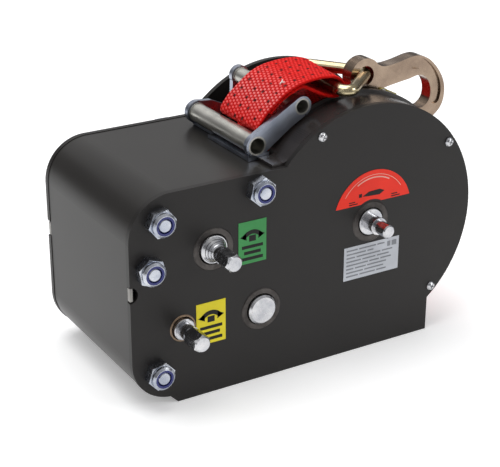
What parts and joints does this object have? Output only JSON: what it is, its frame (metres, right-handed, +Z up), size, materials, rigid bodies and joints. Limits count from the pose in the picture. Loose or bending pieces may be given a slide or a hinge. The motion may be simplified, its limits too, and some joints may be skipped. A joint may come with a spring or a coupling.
{
  "type": "boat trailer winch",
  "caption": "Geared hand winch for a boat trailer: box case with hex drive ends, webbing strap on a drum, roller fairlead and safety hook.",
  "frame": {"origin": "on the underside of the base, straight below the centre of the side plates' round lobe, midway between the plates", "axes": "+Z up from the base, +Y along the drum axis towards the rear plate, +X towards the drum end"},
  "size_m": [0.2705, 0.1609, 0.1996],
  "materials": {
    "black_powder": "matte powder coat",
    "cover_paint": "satin paint",
    "zinc": "bright zinc",
    "yellow_zinc": "yellow passivated zinc",
    "gold_zinc": "yellow passivated zinc",
    "olive_zinc": "yellow passivated zinc",
    "gear_steel": "machined",
    "bush": "sintered bronze",
    "bronze": "bronze",
    "nylon": "nylon",
    "strap": "woven webbing",
    "friction": "friction lining",
    "spring_steel": "spring steel",
    "fairlead": "satin zinc",
    "label_green": "printed film",
    "label_yellow": "printed film",
    "label_red": "printed film",
    "label_white": "printed film"
  },
  "bodies": {
    "frame": {"front_plate": "black_powder", "rear_plate": "black_powder", "wrap_cover": "cover_paint", "gear_cover": "cover_paint", "gear_cover_ring": "cover_paint", "base_plate": "black_powder", "spacer_tubes": "zinc", "tie_bolts": "zinc", "lock_nuts": "zinc", "nylon_rings": "nylon", "cover_screws": "zinc", "drum_bushes": "bush", "fast_bushes": "bush", "slow_bushes": "bronze", "idler_bushes": "bush", "fairlead_frame": "fairlead", "strap_lead": "strap", "strap_loop": "strap", "label_green": "label_green", "label_yellow": "label_yellow", "label_red": "label_red", "label_white": "label_white"},
    "drum": {"drum_shaft": "zinc", "drum_core": "black_powder", "front_flange": "black_powder", "rear_flange": "black_powder", "main_gear": "gear_steel", "drum_circlip": "spring_steel", "strap_coil": "strap"},
    "idler": {"idler_shaft": "zinc", "idler_slow_gear": "gear_steel", "idler_fast_gear": "gear_steel", "idler_circlip": "spring_steel"},
    "fast_drive": {"fast_shaft": "zinc", "fast_gear": "gear_steel", "brake_flange": "gear_steel", "friction_discs": "friction", "fast_circlip": "spring_steel"},
    "ratchet": {"ratchet_wheel": "gear_steel"},
    "slow_drive": {"slow_shaft": "zinc", "slow_circlip": "spring_steel"},
    "pawl_body": {"pawl": "gear_steel", "pawl_spring": "spring_steel"},
    "lower_roller_body": {"lower_roller": "fairlead"},
    "upper_roller_body": {"upper_roller": "fairlead"},
    "link_body": {"link": "gold_zinc"},
    "hook_body": {"hook": "yellow_zinc", "latch_rivet": "zinc"},
    "latch_body": {"latch": "olive_zinc"}
  },
  "joints": [
    {"name": "drum_spin", "type": "hinge", "parent": "frame", "child": "drum", "pos_m": [0.0014, 0, 0.0963], "axis": [0, 1, 0], "continuous": true},
    {"name": "idler_spin", "type": "hinge", "parent": "frame", "child": "idler", "pos_m": [-0.08553, 0, 0.05214], "axis": [0, 1, 0], "continuous": true},
    {"name": "fast_spin", "type": "hinge", "parent": "frame", "child": "fast_drive", "pos_m": [-0.12148, 0, 0.10387], "axis": [0, 1, 0], "continuous": true},
    {"name": "slow_spin", "type": "hinge", "parent": "frame", "child": "slow_drive", "pos_m": [-0.14452, 0, 0.05317], "axis": [0, 1, 0], "continuous": true},
    {"name": "ratchet_spin", "type": "hinge", "parent": "frame", "child": "ratchet", "pos_m": [-0.12148, 0, 0.10387], "axis": [0, 1, 0], "continuous": true},
    {"name": "pawl_pivot", "type": "hinge", "parent": "frame", "child": "pawl_body", "pos_m": [-0.0881, 0, 0.1381], "axis": [0, -1, 0], "range_deg": [-7.5, 3], "stiffness_Nm_per_rad": 0.05},
    {"name": "lower_roller_spin", "type": "hinge", "parent": "frame", "child": "lower_roller_body", "pos_m": [-0.076, 0, 0.1583], "axis": [0, 1, 0], "continuous": true},
    {"name": "upper_roller_spin", "type": "hinge", "parent": "frame", "child": "upper_roller_body", "pos_m": [-0.0415, 0, 0.1795], "axis": [0, 1, 0], "continuous": true},
    {"name": "link_swing", "type": "hinge", "parent": "frame", "child": "link_body", "pos_m": [-0.0124, -0.0192, 0.1882], "axis": [0.1045, 0.9945, 0], "range_deg": [-12, 0]},
    {"name": "hook_swing", "type": "hinge", "parent": "link_body", "child": "hook_body", "pos_m": [0.0182, -0.0235, 0.1873], "axis": [0, 1, 0], "range_deg": [-14, 0]},
    {"name": "latch_swing", "type": "hinge", "parent": "hook_body", "child": "latch_body", "pos_m": [0.0314, -0.0235, 0.1739], "axis": [0, -1, 0], "range_deg": [0, 28], "stiffness_Nm_per_rad": 0.08, "springref_deg": -22.92}
  ],
  "couplings": [
    {"joint": "idler_spin", "follows": "drum_spin", "ratio": -2.9},
    {"joint": "fast_spin", "follows": "drum_spin", "ratio": 3.8667},
    {"joint": "slow_spin", "follows": "drum_spin", "ratio": 9.3214}
  ]
}
